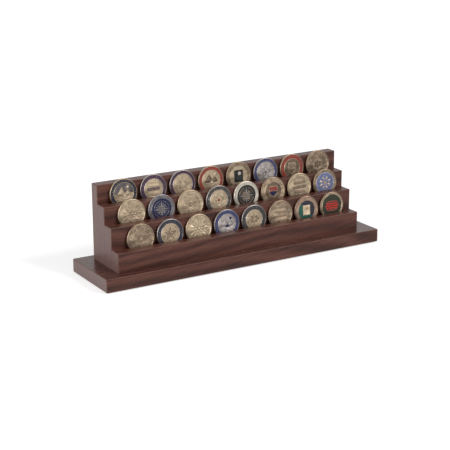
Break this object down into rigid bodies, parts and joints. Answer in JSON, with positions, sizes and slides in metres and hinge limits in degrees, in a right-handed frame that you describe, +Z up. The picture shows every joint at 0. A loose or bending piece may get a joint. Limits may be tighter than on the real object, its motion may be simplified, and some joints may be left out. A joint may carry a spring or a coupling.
{
  "type": "coin display stand",
  "caption": "Stepped walnut stand with stopped slots in its ledges that hold rows of enamelled metal coins leaning back on edge, each free to lift out.",
  "frame": {"origin": "middle of the base's footprint, on the surface that the felt pads rest on", "axes": "+X along the rows, +Y to the back, +Z up"},
  "size_m": [0.447, 0.107, 0.1338],
  "materials": {
    "walnut": "satin lacquer over dark walnut",
    "felt": "black wool felt",
    "screw_steel": "zinc plated",
    "bright_gold": "bright struck brass",
    "antique_gold": "antiqued struck brass",
    "silver": "silver plated, antiqued"
  },
  "bodies": {
    "stand": {"base_board": "walnut", "felt_pads": "felt", "assembly_screws": "screw_steel", "front_tier_board": "walnut", "middle_tier_board": "walnut", "rear_tier_board": "walnut", "back_board": "walnut"},
    "coin_front_1": {"coin_front_1": "antique_gold"},
    "coin_front_2": {"coin_front_2": "bright_gold"},
    "coin_front_3": {"coin_front_3": "bright_gold"},
    "coin_front_4": {"coin_front_4": "silver"},
    "coin_front_5": {"coin_front_5": "bright_gold"},
    "coin_front_6": {"coin_front_6": "antique_gold"},
    "coin_front_7": {"coin_front_7": "antique_gold"},
    "coin_front_8": {"coin_front_8": "bright_gold"},
    "coin_middle_1": {"coin_middle_1": "bright_gold"},
    "coin_middle_2": {"coin_middle_2": "silver"},
    "coin_middle_3": {"coin_middle_3": "antique_gold"},
    "coin_middle_4": {"coin_middle_4": "bright_gold"},
    "coin_middle_5": {"coin_middle_5": "silver"},
    "coin_middle_6": {"coin_middle_6": "antique_gold"},
    "coin_middle_7": {"coin_middle_7": "bright_gold"},
    "coin_middle_8": {"coin_middle_8": "bright_gold"},
    "coin_rear_1": {"coin_rear_1": "bright_gold"},
    "coin_rear_2": {"coin_rear_2": "bright_gold"},
    "coin_rear_3": {"coin_rear_3": "bright_gold"},
    "coin_rear_4": {"coin_rear_4": "bright_gold"},
    "coin_rear_5": {"coin_rear_5": "antique_gold"},
    "coin_rear_6": {"coin_rear_6": "silver"},
    "coin_rear_7": {"coin_rear_7": "antique_gold"},
    "coin_rear_8": {"coin_rear_8": "antique_gold"}
  },
  "joints": [
    {"name": "coin_front_1_lift", "type": "slide", "parent": "stand", "child": "coin_front_1", "axis": [0, 0.0647, 0.9979], "range_m": [0, 0.052]},
    {"name": "coin_front_2_lift", "type": "slide", "parent": "stand", "child": "coin_front_2", "axis": [0, 0.0647, 0.9979], "range_m": [0, 0.052]},
    {"name": "coin_front_3_lift", "type": "slide", "parent": "stand", "child": "coin_front_3", "axis": [0, 0.0647, 0.9979], "range_m": [0, 0.052]},
    {"name": "coin_front_4_lift", "type": "slide", "parent": "stand", "child": "coin_front_4", "axis": [0, 0.0647, 0.9979], "range_m": [0, 0.052]},
    {"name": "coin_front_5_lift", "type": "slide", "parent": "stand", "child": "coin_front_5", "axis": [0, 0.0647, 0.9979], "range_m": [0, 0.052]},
    {"name": "coin_front_6_lift", "type": "slide", "parent": "stand", "child": "coin_front_6", "axis": [0, 0.0647, 0.9979], "range_m": [0, 0.052]},
    {"name": "coin_front_7_lift", "type": "slide", "parent": "stand", "child": "coin_front_7", "axis": [0, 0.0647, 0.9979], "range_m": [0, 0.052]},
    {"name": "coin_front_8_lift", "type": "slide", "parent": "stand", "child": "coin_front_8", "axis": [0, 0.0647, 0.9979], "range_m": [0, 0.052]},
    {"name": "coin_middle_1_lift", "type": "slide", "parent": "stand", "child": "coin_middle_1", "axis": [0, 0.0752, 0.9972], "range_m": [0, 0.052]},
    {"name": "coin_middle_2_lift", "type": "slide", "parent": "stand", "child": "coin_middle_2", "axis": [0, 0.0752, 0.9972], "range_m": [0, 0.052]},
    {"name": "coin_middle_3_lift", "type": "slide", "parent": "stand", "child": "coin_middle_3", "axis": [0, 0.0752, 0.9972], "range_m": [0, 0.052]},
    {"name": "coin_middle_4_lift", "type": "slide", "parent": "stand", "child": "coin_middle_4", "axis": [0, 0.0752, 0.9972], "range_m": [0, 0.052]},
    {"name": "coin_middle_5_lift", "type": "slide", "parent": "stand", "child": "coin_middle_5", "axis": [0, 0.0752, 0.9972], "range_m": [0, 0.052]},
    {"name": "coin_middle_6_lift", "type": "slide", "parent": "stand", "child": "coin_middle_6", "axis": [0, 0.0752, 0.9972], "range_m": [0, 0.052]},
    {"name": "coin_middle_7_lift", "type": "slide", "parent": "stand", "child": "coin_middle_7", "axis": [0, 0.0752, 0.9972], "range_m": [0, 0.052]},
    {"name": "coin_middle_8_lift", "type": "slide", "parent": "stand", "child": "coin_middle_8", "axis": [0, 0.0752, 0.9972], "range_m": [0, 0.052]},
    {"name": "coin_rear_1_lift", "type": "slide", "parent": "stand", "child": "coin_rear_1", "axis": [0, 0.0716, 0.9974], "range_m": [0, 0.052]},
    {"name": "coin_rear_2_lift", "type": "slide", "parent": "stand", "child": "coin_rear_2", "axis": [0, 0.0716, 0.9974], "range_m": [0, 0.052]},
    {"name": "coin_rear_3_lift", "type": "slide", "parent": "stand", "child": "coin_rear_3", "axis": [0, 0.0716, 0.9974], "range_m": [0, 0.052]},
    {"name": "coin_rear_4_lift", "type": "slide", "parent": "stand", "child": "coin_rear_4", "axis": [0, 0.0716, 0.9974], "range_m": [0, 0.052]},
    {"name": "coin_rear_5_lift", "type": "slide", "parent": "stand", "child": "coin_rear_5", "axis": [0, 0.0716, 0.9974], "range_m": [0, 0.052]},
    {"name": "coin_rear_6_lift", "type": "slide", "parent": "stand", "child": "coin_rear_6", "axis": [0, 0.0716, 0.9974], "range_m": [0, 0.052]},
    {"name": "coin_rear_7_lift", "type": "slide", "parent": "stand", "child": "coin_rear_7", "axis": [0, 0.0716, 0.9974], "range_m": [0, 0.052]},
    {"name": "coin_rear_8_lift", "type": "slide", "parent": "stand", "child": "coin_rear_8", "axis": [0, 0.0716, 0.9974], "range_m": [0, 0.052]}
  ]
}
